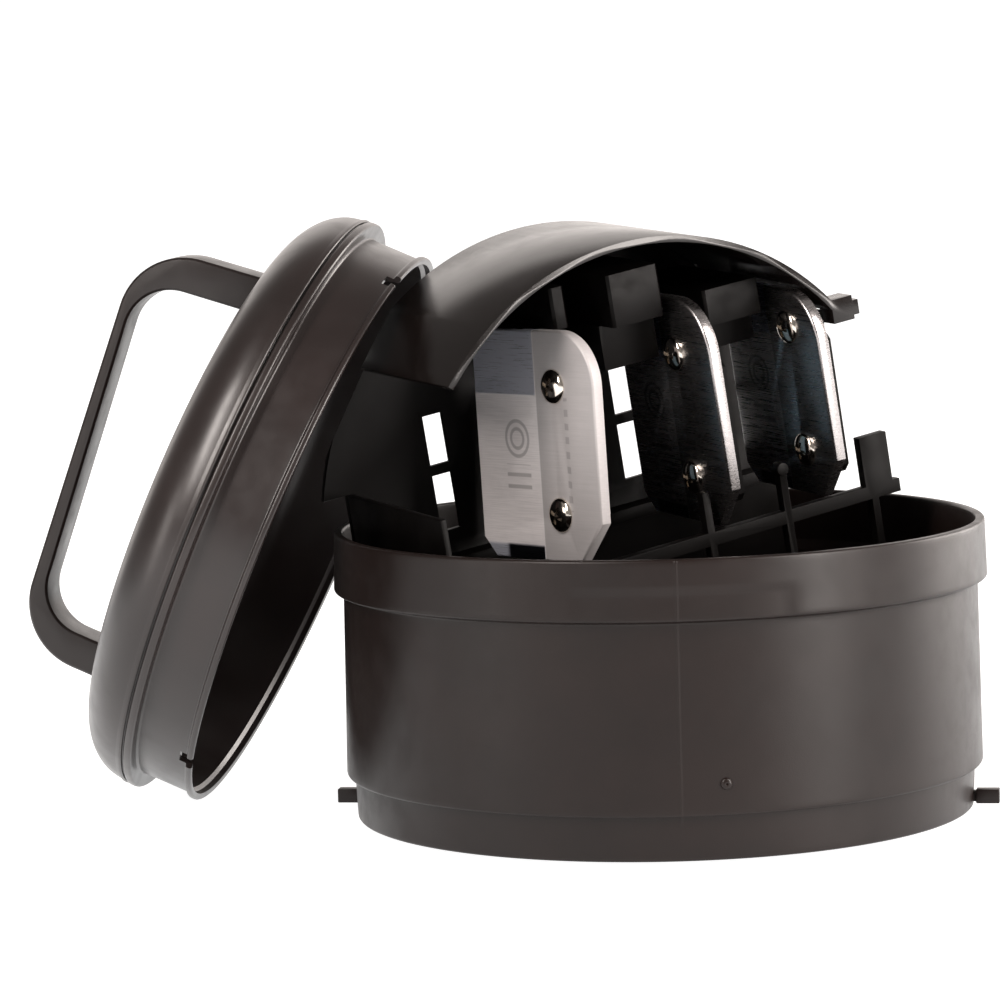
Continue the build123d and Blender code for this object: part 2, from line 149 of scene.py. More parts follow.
class BaitStationScrews(bpy.types.PropertyGroup):
    head_radius: FloatProperty(
        name="Head radius", description="Radius of a face screw's pan head",
        default=0.0065, min=0.002, max=0.01, unit="LENGTH", subtype="DISTANCE")
    head_height: FloatProperty(
        name="Head height", description="Height of a face screw's pan head",
        default=0.0026, min=0.001, max=0.006, unit="LENGTH", subtype="DISTANCE")
    recess_width: FloatProperty(
        name="Recess width", description="Width of a slot of the cross recess",
        default=0.0014, min=0.0005, max=0.003, unit="LENGTH", subtype="DISTANCE")
    recess_reach: FloatProperty(
        name="Recess reach", description="Length of a slot of the cross recess",
        default=0.0066, min=0.002, max=0.012, unit="LENGTH", subtype="DISTANCE")


class BaitStationColours(bpy.types.PropertyGroup):
    tub: FloatVectorProperty(
        name="Tub plastic", description="Colour of the tub", subtype="COLOR", size=3,
        min=0, max=1, default=(0.0078, 0.0042, 0.0034))
    lid: FloatVectorProperty(
        name="Lid plastic", description="Colour of the lid", subtype="COLOR", size=3,
        min=0, max=1, default=(0.0110, 0.0066, 0.0060))
    handle: FloatVectorProperty(
        name="Handle plastic", description="Colour of the lid's handle", subtype="COLOR",
        size=3, min=0, max=1, default=(0.0100, 0.0062, 0.0055))
    # The carrier's colour is darkened well below the tub's as painted shade of the deep
    # interior.
    carrier: FloatVectorProperty(
        name="Carrier plastic", description="Colour of the inner carrier", subtype="COLOR",
        size=3, min=0, max=1, default=(0.0012, 0.0008, 0.0007))
    plate: FloatVectorProperty(
        name="Plate metal", description="Colour of the cassette face plates",
        subtype="COLOR", size=3, min=0, max=1,
        default=(0.62, 0.59, 0.59))
    bait: FloatVectorProperty(
        name="Bait", description="Colour of the bait blocks", subtype="COLOR", size=3,
        min=0, max=1, default=slot_colour("bait"))


class BaitStationStage(bpy.types.PropertyGroup):
    distance: FloatProperty(
        name="Camera distance", description="From the camera to the middle of the view",
        default=1.6465, min=0.5, max=5.0, unit="LENGTH", subtype="DISTANCE")
    elevation: FloatProperty(
        name="Camera height angle", description="Angle of the camera above the object",
        default=math.radians(6.038), min=0.0, max=1.5, subtype="ANGLE")
    sky: FloatProperty(
        name="Sky", description="Brightness of the white surroundings", default=1.0,
        min=0.0, max=5.0)


# Mesh helpers -----------------------------------------------------------------------------

def settings():
    """The shape sizes set in the panel."""
    return bpy.context.scene.bait_station_shape


def link(mesh, name):
    """Puts a mesh in the scene as an object at the origin."""
    piece = bpy.data.objects.new(name, mesh)
    bpy.context.scene.collection.objects.link(piece)
    return piece


def baked(piece):
    """Applies a piece's modifiers and leaves it as a plain mesh."""
    graph = bpy.context.evaluated_depsgraph_get()
    mesh = bpy.data.meshes.new_from_object(piece.evaluated_get(graph), depsgraph=graph)
    piece.modifiers.clear()
    piece.data = mesh
    return piece


def smooth(mesh, degrees):
    """Shades a mesh smooth up to an angle between faces."""
    for polygon in mesh.polygons:
        polygon.use_smooth = True
    mesh.set_sharp_from_angle(angle=math.radians(degrees))


def wear_material(mesh, material):
    mesh.materials.clear()
    mesh.materials.append(material)


def fit_piece(piece, material, body, slot, *nodes):
    """Gives a finished piece its material, hides the CAD nodes it stands for and attaches it to
    its body.
    """
    wear_material(piece.data, material)
    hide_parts(*nodes)
    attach(piece, body)
    return piece


def merged_copy(node, radius, segments=2, degrees=32.0):
    """Copy of a CAD node with its triangles merged and its edges rounded."""
    source = frame["nodes"][node].data
    shape = bmesh.new()
    shape.from_mesh(source)
    bmesh.ops.remove_doubles(shape, verts=shape.verts, dist=2e-6)
    bmesh.ops.dissolve_limit(
        shape, angle_limit=math.radians(0.6), verts=shape.verts, edges=shape.edges)
    mesh = bpy.data.meshes.new(node + "_finished")
    shape.to_mesh(mesh)
    shape.free()
    if "custom_normal" in mesh.attributes:
        mesh.attributes.remove(mesh.attributes["custom_normal"])
    piece = link(mesh, node + "_finished")
    if radius > 0:
        bevel = piece.modifiers.new("Edges", "BEVEL")
        bevel.width = radius
        bevel.segments = segments
        bevel.limit_method = "ANGLE"
        bevel.angle_limit = math.radians(35)
        bevel.use_clamp_overlap = True
        baked(piece)
    smooth(piece.data, degrees)
    return piece


def rounded_profile(corners, arc_steps=5, longest=3.0):
    """Outline in mm from (r, z, rounding) corners, with arcs and evenly split runs."""
    points = []
    for index, (r, z, rounding) in enumerate(corners):
        here = Vector((r, z))
        if rounding == 0 or index in (0, len(corners) - 1):
            points.append(here)
            continue
        before = Vector(corners[index - 1][:2]) - here
        after = Vector(corners[index + 1][:2]) - here
        half = before.angle(after) / 2
        back = rounding / math.tan(half)
        back = min(back, before.length * 0.48, after.length * 0.48)
        size = back * math.tan(half)
        start = here + before.normalized() * back
        end = here + after.normalized() * back
        middle = here + (before.normalized() + after.normalized()).normalized() \
            * (size / math.sin(half))
        for step in range(arc_steps + 1):
            share = step / arc_steps
            ray = (start - middle).slerp(end - middle, share) if half < 1.55 \
                else (start - middle).lerp(end - middle, share)
            points.append(middle + ray)
    split = [points[0]]
    for point in points[1:]:
        run = point - split[-1]
        count = max(1, math.ceil(run.length / longest)) if point.x > 90 else 1
        base = split[-1].copy()
        for step in range(1, count + 1):
            split.append(base + run * (step / count))
    return split


def lathe(profile, angles, shift=None, looped=False):
    """Surface of revolution about z from an outline in mm, as a bmesh in metres."""
    shape = bmesh.new()
    rings = []
    for point in profile:
        if point.x < 1e-6:
            rings.append([shape.verts.new((0, 0, point.y * MM))])
            continue
        ring = []
        for angle in angles:
            r = point.x + (shift(angle, point) if shift else 0.0)
            ring.append(shape.verts.new(
                (r * math.cos(angle) * MM, r * math.sin(angle) * MM, point.y * MM)))
        rings.append(ring)
    count = len(angles)
    pairs = list(zip(rings, rings[1:])) + ([(rings[-1], rings[0])] if looped else [])
    for low, high in pairs:
        if len(low) == 1 and len(high) == 1:
            continue
        for k in range(count):
            n = (k + 1) % count
            if len(low) == 1:
                shape.faces.new((low[0], high[n], high[k]))
            elif len(high) == 1:
                shape.faces.new((low[k], low[n], high[0]))
            else:
                shape.faces.new((low[k], low[n], high[n], high[k]))
    bmesh.ops.recalc_face_normals(shape, faces=shape.faces)
    return shape


def even_angles(count, extra=()):
    """Evenly spaced angles round a turn, with the extra ones put in order among them."""
    angles = {round(2 * math.pi * k / count, 6) for k in range(count)}
    angles |= {round(a % (2 * math.pi), 6) for a in extra}
    return sorted(angles)


def step_between(value, low, high):
    """Smooth step from 0 at low to 1 at high."""
    share = min(1.0, max(0.0, (value - low) / (high - low)))
    return share * share * (3 - 2 * share)


# Materials --------------------------------------------------------------------------------

def feed(tree, socket, value):
    """Gives a socket a number or a wire."""
    if isinstance(value, (int, float)):
        socket.default_value = value
    else:
        tree.links.new(value, socket)


class Nodes:
    """Short hand for laying out a material's nodes."""

    def __init__(self, name):
        self.material = bpy.data.materials.new(name)
        self.material.use_nodes = True
        self.tree = self.material.node_tree
        self.surface = self.tree.nodes["Principled BSDF"]
        self.object = self.add("ShaderNodeTexCoord").outputs["Object"]

    def add(self, kind, **values):
        node = self.tree.nodes.new(kind)
        for key, value in values.items():
            setattr(node, key, value)
        return node

    def wire(self, source, target):
        self.tree.links.new(source, target)

    def noise(self, scale, detail=3.0, roughness=0.5, place=None, stretch=None):
        node = self.add("ShaderNodeTexNoise")
        node.inputs["Scale"].default_value = scale
        node.inputs["Detail"].default_value = detail
        node.inputs["Roughness"].default_value = roughness
        source = self.object if place is None else place
        if stretch:
            mapping = self.add("ShaderNodeMapping")
            mapping.inputs["Scale"].default_value = stretch
            self.wire(source, mapping.inputs["Vector"])
            source = mapping.outputs["Vector"]
        self.wire(source, node.inputs["Vector"])
        return node.outputs["Fac"]

    def band(self, value, low, high, to_low, to_high):
        node = self.add("ShaderNodeMapRange", interpolation_type="SMOOTHSTEP")
        for name, number in (("From Min", low), ("From Max", high),
                             ("To Min", to_low), ("To Max", to_high)):
            node.inputs[name].default_value = number
        self.wire(value, node.inputs["Value"])
        return node.outputs["Result"]

    def sums(self, operation, first, second):
        node = self.add("ShaderNodeMath", operation=operation)
        for slot, value in enumerate((first, second)):
            feed(self.tree, node.inputs[slot], value)
        return node.outputs[0]

    def within(self, value, middle, inner, outer):
        """One up to inner from the middle, falling to nothing at outer."""
        off = self.sums("ABSOLUTE", self.sums("SUBTRACT", value, middle), 0.0)
        return self.band(off, inner, outer, 1.0, 0.0)

    def blend(self, share, first, second):
        node = self.add("ShaderNodeMix", data_type="RGBA")
        self.wire(share, node.inputs["Factor"])
        for socket, value in (("A", first), ("B", second)):
            target = [s for s in node.inputs if s.name == socket and s.type == "RGBA"][0]
            if isinstance(value, (tuple, list)):
                target.default_value = (*value, 1)
            else:
                self.wire(value, target)
        return [s for s in node.outputs if s.type == "RGBA"][0]

    def bump(self, height, distance, strength=1.0, under=None):
        node = self.add("ShaderNodeBump")
        node.inputs["Distance"].default_value = distance
        node.inputs["Strength"].default_value = strength
        self.wire(height, node.inputs["Height"])
        if under is not None:
            self.wire(under, node.inputs["Normal"])
        return node.outputs["Normal"]


def shade(colour, factor):
    """The colour made lighter or darker."""
    return tuple(min(1.0, channel * factor) for channel in colour)


def moulded_plastic(name, colour, rough, spread=0.10, grain=1.0, coat=0.0, coat_rough=0.2,
                    dust=0.10, gloss=0.5):
    """Satin injection-moulded plastic: cloudy tone, fine grain, handling scuffs and dust."""
    n = Nodes(name)
    cloud = n.noise(26.0, 4.0, 0.55)
    tone = n.blend(n.band(cloud, 0.3, 0.7, 0.0, 1.0), shade(colour, 0.82), shade(colour, 1.16))
    speck = n.noise(900.0, 2.0, 0.6)
    tone = n.blend(n.band(speck, 0.66, 0.78, 0.0, dust), tone, shade(colour, 2.6))
    n.wire(tone, n.surface.inputs["Base Color"])
    scuff = n.noise(90.0, 4.0, 0.55)
    haze = n.noise(38.0, 3.0, 0.5)
    level = n.sums("ADD", n.band(scuff, 0.35, 0.75, -spread, spread),
                   n.band(haze, 0.3, 0.7, rough - spread * 0.4, rough + spread * 0.4))
    n.wire(level, n.surface.inputs["Roughness"])
    fine = n.bump(n.noise(2600.0, 2.0, 0.6), 0.00005 * grain, 0.5)
    soft = n.bump(n.noise(60.0, 1.0, 0.5), 0.00007 * grain, 0.25, under=fine)
    n.wire(soft, n.surface.inputs["Normal"])
    n.surface.inputs["IOR"].default_value = 1.49
    n.surface.inputs["Specular IOR Level"].default_value = gloss
    n.surface.inputs["Coat Weight"].default_value = coat
    n.surface.inputs["Coat Roughness"].default_value = coat_rough
    return n.material


def plate_coordinates(n, place):
    """Coordinates in a cassette's own frame: x along the plate, z up it."""
    inverse = place.inverted()
    mapping = n.add("ShaderNodeMapping")
    mapping.inputs["Rotation"].default_value = inverse.to_euler("XYZ")
    mapping.inputs["Location"].default_value = inverse.translation
    n.wire(n.object, mapping.inputs["Vector"])
    return mapping.outputs["Vector"]


def ring_mark(n, local, x, z, radius):
    """A thin etched ring on the plate's face."""
    spot = n.add("ShaderNodeVectorMath", operation="DISTANCE")
    flat = n.add("ShaderNodeVectorMath", operation="MULTIPLY")
    flat.inputs[1].default_value = (1, 0, 1)
    n.wire(local, flat.inputs[0])
    n.wire(flat.outputs["Vector"], spot.inputs[0])
    spot.inputs[1].default_value = (x * MM, 0, z * MM)
    return n.within(spot.outputs["Value"], radius * MM, 0.0004, 0.0009)


def stamped_plate(name, colour, place, frost):
    """Stamped metal plate: brushed streaks, a frosted field, polished bands with a blue-grey
    painted reflection, a near-black foot of painted shade, a darker front strip, etched marks.
    """
    n = Nodes(name)
    local = plate_coordinates(n, place)
    parts = n.add("ShaderNodeSeparateXYZ")
    n.wire(local, parts.inputs[0])
    along, up = parts.outputs[0], parts.outputs[2]
    streak = n.noise(1.0, 4.0, 0.6, place=local, stretch=(60.0, 400.0, 2600.0))
    cloud = n.noise(70.0, 4.0, 0.55)
    rear = n.band(along, PLATE_DIVIDE - 0.0005, PLATE_DIVIDE + 0.0001, 1.0, 0.0)
    # Polished bands: lower roughness, and a blue-grey base colour that is a painted reflection.
    bands = n.sums("MAXIMUM", n.band(up, PLATE_REFLECTION_BAND_LOW, PLATE_REFLECTION_BAND_LOW + 0.0008, 0.0, 1.0),
                   n.band(up, PLATE_SHADE_FOOT_TOP - 0.0018, PLATE_SHADE_FOOT_TOP, 1.0, 0.0))
    polished_painted_reflection = n.sums("MULTIPLY", rear, bands)
    # The foot is a near-black metal patch of painted shade.
    painted_shade_foot = n.sums("MULTIPLY", rear, n.band(along, -0.0570, -0.0540, 0.0, 1.0))
    painted_shade_foot = n.sums("MULTIPLY", painted_shade_foot, n.band(up, PLATE_SHADE_FOOT_TOP - 0.0014, PLATE_SHADE_FOOT_TOP,
                                           1.0, 0.0))
    tone = n.blend(n.band(streak, 0.3, 0.7, 0.0, 1.0), shade(colour, 1.12), shade(colour, 1.34))
    tone = n.blend(n.band(cloud, 0.4, 0.8, 0.0, 0.3), tone, shade(colour, 0.86))
    # The strip in front of the divide is darker.
    tone = n.blend(n.band(along, PLATE_DIVIDE, PLATE_DIVIDE + 0.0006, 0.0, 0.7), tone,
                   shade(colour, 0.46))
    # Painted reflection: blue-grey tint on the polished bands.
    tone = n.blend(n.sums("MULTIPLY", polished_painted_reflection, 0.85), tone, (0.66, 0.69, 0.80))
    # Painted shade: near-black foot.
    tone = n.blend(n.sums("MULTIPLY", painted_shade_foot, 0.9), tone, (0.06, 0.06, 0.08))
    marks = n.sums("MAXIMUM", ring_mark(n, local, -46.0, 44.5, 6.5),
                   ring_mark(n, local, -46.0, 44.5, 3.6))
    repeat = n.sums("PINGPONG", n.sums("SUBTRACT", up, 0.0245), 0.0022)
    field = n.sums("MULTIPLY", n.within(up, 0.0290, 0.0058, 0.0062),
                   n.within(along, -0.046, 0.0068, 0.0072))
    bars = n.sums("MULTIPLY", n.band(repeat, 0.0013, 0.0017, 0.0, 1.0), field)
    marks = n.sums("MAXIMUM", marks, bars)
    hatch = n.add("ShaderNodeTexWave", bands_direction="Z")
    hatch.inputs["Scale"].default_value = 60.0
    hatch.inputs["Distortion"].default_value = 2.0
    n.wire(local, hatch.inputs["Vector"])
    column = n.sums("MULTIPLY", n.within(along, -0.0165, 0.0008, 0.0013),
                    n.band(hatch.outputs["Fac"], 0.45, 0.6, 0.0, 1.0))
    column = n.sums("MULTIPLY", column, n.within(up, 0.0395, 0.0205, 0.021))
    etched = n.sums("MULTIPLY", n.sums("MAXIMUM", marks, column), 0.55)
    tone = n.blend(etched, tone, shade(colour, 0.35))
    n.wire(tone, n.surface.inputs["Base Color"])
    rough = n.sums("ADD", n.band(streak, 0.3, 0.7, 0.24, 0.32), frost * 0.22)
    n.wire(n.sums("SUBTRACT", rough, n.sums("MULTIPLY", polished_painted_reflection, frost * 0.2)),
           n.surface.inputs["Roughness"])
    bright = n.sums("ADD", n.sums("MULTIPLY", polished_painted_reflection, frost * 0.45), 1.0 - frost * 0.8)
    n.wire(n.sums("MAXIMUM", bright, painted_shade_foot), n.surface.inputs["Metallic"])
    height = n.sums("SUBTRACT", n.sums("MULTIPLY", streak, 0.25), etched)
    n.wire(n.bump(height, 0.00005, 0.5), n.surface.inputs["Normal"])
    return n.material


def worn_metal(name, colour, rough, scale=220.0):
    """Plated steel with faint turning marks and a dull film."""
    n = Nodes(name)
    film = n.noise(scale, 4.0, 0.6)
    tone = n.blend(n.band(film, 0.35, 0.75, 0.0, 1.0), colour, shade(colour, 0.62))
    n.wire(tone, n.surface.inputs["Base Color"])
    n.wire(n.band(n.noise(scale * 2.2, 3.0, 0.5), 0.3, 0.7, rough * 0.75, rough * 1.3),
           n.surface.inputs["Roughness"])
    n.wire(n.bump(n.noise(3200.0, 2.0, 0.5), 0.00003, 0.5), n.surface.inputs["Normal"])
    n.surface.inputs["Metallic"].default_value = 1.0
    return n.material


def wax_bait(name, colour):
    """Pressed grain bait held in wax: coarse grains, pale flecks and a waxy sheen."""
    n = Nodes(name)
    cells = n.add("ShaderNodeTexVoronoi")
    cells.inputs["Scale"].default_value = 620.0
    n.wire(n.object, cells.inputs["Vector"])
    grains = n.band(cells.outputs["Distance"], 0.1, 0.7, 0.0, 1.0)
    tone = n.blend(grains, shade(colour, 1.25), shade(colour, 0.55))
    flecks = n.noise(900.0, 2.0, 0.6)
    tone = n.blend(n.band(flecks, 0.62, 0.72, 0.0, 0.6), tone, (0.62, 0.55, 0.36))
    n.wire(tone, n.surface.inputs["Base Color"])
    n.wire(n.band(grains, 0.0, 1.0, 0.42, 0.62), n.surface.inputs["Roughness"])
    n.wire(n.bump(grains, 0.0003, 0.7), n.surface.inputs["Normal"])
    n.surface.inputs["Subsurface Weight"].default_value = 0.15
    n.surface.inputs["Subsurface Scale"].default_value = 0.002
    return n.material


def material(name):
    """The finish of that name, made the first time it is asked for."""
    found = bpy.data.materials.get(name)
    if found:
        return found
    colours = bpy.context.scene.bait_station_colours
    if name.startswith("plate_metal"):
        number = int(name[-1])
        place, _, frost = CASSETTES[number - 1]
        return stamped_plate(name, tuple(colours.plate), place, frost)
    makers = {
        "tub_satin": lambda: moulded_plastic(name, tuple(colours.tub), 0.40, spread=0.05,
                                             gloss=0.31),
        "lid_gloss": lambda: moulded_plastic(name, tuple(colours.lid), 0.34, spread=0.04,
                                             grain=0.45, coat=0.25, coat_rough=0.3),
        "handle_satin": lambda: moulded_plastic(name, tuple(colours.handle), 0.36, spread=0.05),
        # The carrier wears its darkened colour as painted shade; the hood in the light takes a
        # four times lighter copy, and the blocks and trays near copies of the dark one.
        "carrier_dull_painted_shade": lambda: moulded_plastic(name, tuple(colours.carrier), 0.5,
                                                spread=0.05, gloss=0.12, dust=0.05),
        "hood_satin": lambda: moulded_plastic(name, shade(colours.carrier, 4.0), 0.20,
                                              spread=0.03, grain=0.6, gloss=0.45),
        "block_dull": lambda: moulded_plastic(
            name, shade(colours.carrier, 1.2), 0.5, dust=0.04, gloss=0.14),
        "tray_dull": lambda: moulded_plastic(
            name, shade(colours.carrier, 0.9), 0.5, dust=0.04, gloss=0.12),
        "screw_nickel": lambda: worn_metal(name, (0.66, 0.60, 0.53), 0.22),
        "screw_steel": lambda: worn_metal(name, (0.55, 0.54, 0.52), 0.34),
        "rod_steel": lambda: worn_metal(name, (0.60, 0.60, 0.60), 0.3),
        "bait_wax": lambda: wax_bait(name, tuple(colours.bait)),
    }
    return makers[name]()


# Pieces -----------------------------------------------------------------------------------

def tub_shift(angle, point):
    """Parting seams and the blank collar panel, as changes of the outer radius in mm."""
    shape = settings()
    if point.x < 114.3 or point.y < 0.5 or point.y > TUB_HEIGHT - 0.1:
        return 0.0
    if point.x < 116.4 and point.y > 85:
        return 0.0
    change = 0.0
    for seam in TUB_SEAMS:
        off = (angle - math.radians(seam)) * point.x
        change += shape.seam_height / MM * math.exp(-(off / SEAM_HALF_WIDTH) ** 2)
    off = abs(angle - math.radians(PANEL_TURN)) * point.x
    inside = (1 - step_between(off, 37.0, 40.0)) * step_between(point.y, 84.0, 86.5) \
        * (1 - step_between(point.y, 95.0, 97.0))
    return change - shape.panel_depth / MM * inside


def tub_mesh():
    """Tub wall turned from its outline, with the gate mark on its side."""
    corners = [
        (0, 0, 0), (115, 0, 2.2), (115, 17, 0.4), (117, 18, 0.6), (117, 84.3, 0.6),
        (120, 85.9, 0.9), (120, TUB_HEIGHT, 1.5), (115.7, TUB_HEIGHT, 1.4), (115.7, 87.5, 1.0),
        (114, 83.5, 1.0), (114, 17, 1.0), (112, 14, 1.0), (112, 3, 3.0), (0, 3, 0)]
    profile = rounded_profile(corners, longest=1.6)
    seams = [math.radians(a + k * 0.12) for a in TUB_SEAMS for k in range(-6, 7)]
    shape = lathe(profile, even_angles(settings().turn_steps, seams), tub_shift)
    angle = math.radians(GATE_MARK_TURN)
    out = Vector((math.cos(angle), math.sin(angle), 0))
    place = Matrix.Translation(
        (out * GATE_MARK_RADIUS + Vector((0, 0, GATE_MARK_HEIGHT))) * MM) \
        @ out.to_track_quat("Z", "Y").to_matrix().to_4x4()
    mark = rounded_profile([(0, -0.4, 0), (1.5, -0.4, 0), (1.5, 0.8, 0.3), (0.7, 0.9, 0.2),
                            (0.0, 0.65, 0)], arc_steps=3)
    button = lathe(mark, even_angles(24))
    button.transform(place)
    spare = bpy.data.meshes.new("gate_mark")
    button.to_mesh(spare)
    button.free()
    shape.from_mesh(spare)
    bpy.data.meshes.remove(spare)
    mesh = bpy.data.meshes.new("tub_wall")
    shape.to_mesh(mesh)
    shape.free()
    return mesh


def lid_profile():
    """Closed outline of the lid shell in mm: outside from the lip to the crown, then inside."""
    outer = rounded_profile([
        (109.0, 0, 0), (111.1, 0, 0.5), (111.1, 1.3, 0.5), (110.2, 2.6, 0.8), (110.2, 22, 0.8),
        (115.8, 22.2, 0.8), (115.8, 24.9, 0.8), (114.3, 25.2, 0.3), (114.3, 26.0, 0.3),
        (DOME_RADIUS, 26.6, 0.4), (DOME_RADIUS, 28.2, 0)], arc_steps=4)
    dome = []
    for k in range(1, 41):
        a = math.radians(90 * k / 40)
        dome.append(Vector((DOME_EDGE + (DOME_RADIUS - DOME_EDGE) * math.cos(a),
                            DOME_LOW + (DOME_CROWN - DOME_LOW) * math.sin(a))))
    for k in range(1, 24):
        share = k / 24
        dome.append(Vector((DOME_EDGE * (1 - share),
                            DOME_CROWN + 2.0 * (1 - (1 - share) ** 2))))
    for _ in range(6):
        dome = [dome[0]] + [(a + b * 2 + c) / 4 for a, b, c in
                            zip(dome, dome[1:], dome[2:])] + [dome[-1]]
    inner = []
    for k in range(1, 21):
        a = math.radians(90 - 90 * k / 20)
        inner.append(Vector((89 + 18.9 * math.cos(a), 26.2 + 19.1 * math.sin(a))))
    inner += [Vector((107.9, 24.5)), Vector((107.9, 12.0)), Vector((107.9, 3.6)),
              Vector((109.0, 2.2))]
    return outer + dome + [Vector((0, 49.6)), Vector((0, 47.3)), Vector((40, 46.8))] + inner


def lid_mesh():
    """Lid shell turned from its outline."""
    shape = lathe(lid_profile(), even_angles(settings().turn_steps), looped=True)
    mesh = bpy.data.meshes.new("lid_wall")
    shape.to_mesh(mesh)
    shape.free()
    return mesh


def cutter_mesh(boxes):
    """Boxes in metres, each given as its size, place and turn about z, as one mesh."""
    shape = bmesh.new()
    for size, place, turn in boxes:
        spot = Matrix.Rotation(turn, 4, "Z") @ Matrix.Translation(place) \
            @ Matrix.Diagonal((*size, 1))
        bmesh.ops.create_cube(shape, size=1.0, matrix=spot)
    mesh = bpy.data.meshes.new("cutter")
    shape.to_mesh(mesh)
    shape.free()
    return mesh


def cut_away(piece, boxes):
    """Takes the boxes out of a piece."""
    cutter = link(cutter_mesh(boxes), "cutter")
    step = piece.modifiers.new("Cut", "BOOLEAN")
    step.operation = "DIFFERENCE"
    step.solver = "EXACT"
    step.object = cutter
    baked(piece)
    bpy.data.objects.remove(cutter)


def screw_tree():
    """Node tree that sets a cross-recessed screw on each point, along the point's axis."""
    tree = bpy.data.node_groups.new("Screw Set", "GeometryNodeTree")
    tree.is_modifier = True
    face = tree.interface
    face.new_socket("Places", in_out="INPUT", socket_type="NodeSocketGeometry")
    for name, value in (("Head Radius", 0.0065), ("Head Height", 0.0026),
                        ("Shank Radius", 0.002), ("Shank Length", 0.0115),
                        ("Recess Width", 0.0014), ("Recess Reach", 0.0066),
                        ("Recess Depth", 0.0013)):
        socket = face.new_socket(name, in_out="INPUT", socket_type="NodeSocketFloat")
        socket.default_value = value
        socket.subtype = "DISTANCE"
    face.new_socket("Finish", in_out="INPUT", socket_type="NodeSocketMaterial")
    face.new_socket("Screws", in_out="OUTPUT", socket_type="NodeSocketGeometry")
    nodes, wires = tree.nodes, tree.links
    given = nodes.new("NodeGroupInput").outputs

    def number(operation, first, second):
        node = nodes.new("ShaderNodeMath")
        node.operation = operation
        for slot, value in enumerate((first, second)):
            feed(tree, node.inputs[slot], value)
        return node.outputs[0]

    def triple(x, y, z):
        node = nodes.new("ShaderNodeCombineXYZ")
        for slot, value in enumerate((x, y, z)):
            feed(tree, node.inputs[slot], value)
        return node.outputs[0]

    def placed(mesh, shift=None, turn=None, scale=None):
        node = nodes.new("GeometryNodeTransform")
        wires.new(mesh, node.inputs["Geometry"])
        for name, value in (("Translation", shift), ("Scale", scale)):
            if value is not None:
                wires.new(value, node.inputs[name])
        if turn is not None:
            node.inputs["Rotation"].default_value = turn
        return node.outputs["Geometry"]

    def cut(operation, first, *others):
        node = nodes.new("GeometryNodeMeshBoolean")
        node.operation = operation
        node.solver = "EXACT"
        if operation == "DIFFERENCE":
            wires.new(first, node.inputs["Mesh 1"])
        else:
            wires.new(first, node.inputs["Mesh 2"])
        for other in others:
            wires.new(other, node.inputs["Mesh 2"])
        return node.outputs["Mesh"]

    ball = nodes.new("GeometryNodeMeshUVSphere")
    ball.inputs["Segments"].default_value = 40
    ball.inputs["Rings"].default_value = 20
    ball.inputs["Radius"].default_value = 1.0
    dome = placed(ball.outputs["Mesh"],
                  scale=triple(given["Head Radius"], given["Head Radius"],
                               given["Head Height"]))
    block = nodes.new("GeometryNodeMeshCube")
    wide = number("MULTIPLY", given["Head Radius"], 4.0)
    wires.new(triple(wide, wide, given["Head Height"]), block.inputs["Size"])
    tall = number("MULTIPLY", given["Head Height"], 0.5)
    above = placed(block.outputs["Mesh"], shift=triple(0.0, 0.0, number("ADD", tall, 0.00001)))
    head = cut("INTERSECT", dome, above)
    bars = []
    for turn in (0.25, 0.25 + math.pi / 2):
        bar = nodes.new("GeometryNodeMeshCube")
        wires.new(triple(given["Recess Reach"], given["Recess Width"],
                         number("MULTIPLY", given["Recess Depth"], 2.0)), bar.inputs["Size"])
        bars.append(placed(bar.outputs["Mesh"], shift=triple(0.0, 0.0, given["Head Height"]),
                           turn=(0, 0, turn)))
    head = cut("DIFFERENCE", head, *bars)
    rod = nodes.new("GeometryNodeMeshCylinder")
    rod.inputs["Vertices"].default_value = 24
    wires.new(given["Shank Radius"], rod.inputs["Radius"])
    wires.new(given["Shank Length"], rod.inputs["Depth"])
    down = number("MULTIPLY", given["Shank Length"], -0.5)
    shank = placed(rod.outputs["Mesh"], shift=triple(0.0, 0.0, number("ADD", down, 0.0002)))
    both = nodes.new("GeometryNodeJoinGeometry")
    wires.new(head, both.inputs[0])
    wires.new(shank, both.inputs[0])
    axis = nodes.new("GeometryNodeInputNamedAttribute")
    axis.data_type = "FLOAT_VECTOR"
    axis.inputs["Name"].default_value = "screw_axis"
    aim = nodes.new("FunctionNodeAlignRotationToVector")
    aim.axis = "Z"
    wires.new(axis.outputs["Attribute"], aim.inputs["Vector"])
    spread = nodes.new("GeometryNodeInstanceOnPoints")
    wires.new(given["Places"], spread.inputs["Points"])
    wires.new(both.outputs[0], spread.inputs["Instance"])
    wires.new(aim.outputs["Rotation"], spread.inputs["Rotation"])
    real = nodes.new("GeometryNodeRealizeInstances")
    wires.new(spread.outputs["Instances"], real.inputs["Geometry"])
    coat = nodes.new("GeometryNodeSetMaterial")
    wires.new(real.outputs["Geometry"], coat.inputs["Geometry"])
    wires.new(given["Finish"], coat.inputs["Material"])
    wires.new(coat.outputs["Geometry"], nodes.new("NodeGroupOutput").inputs[0])
    return tree


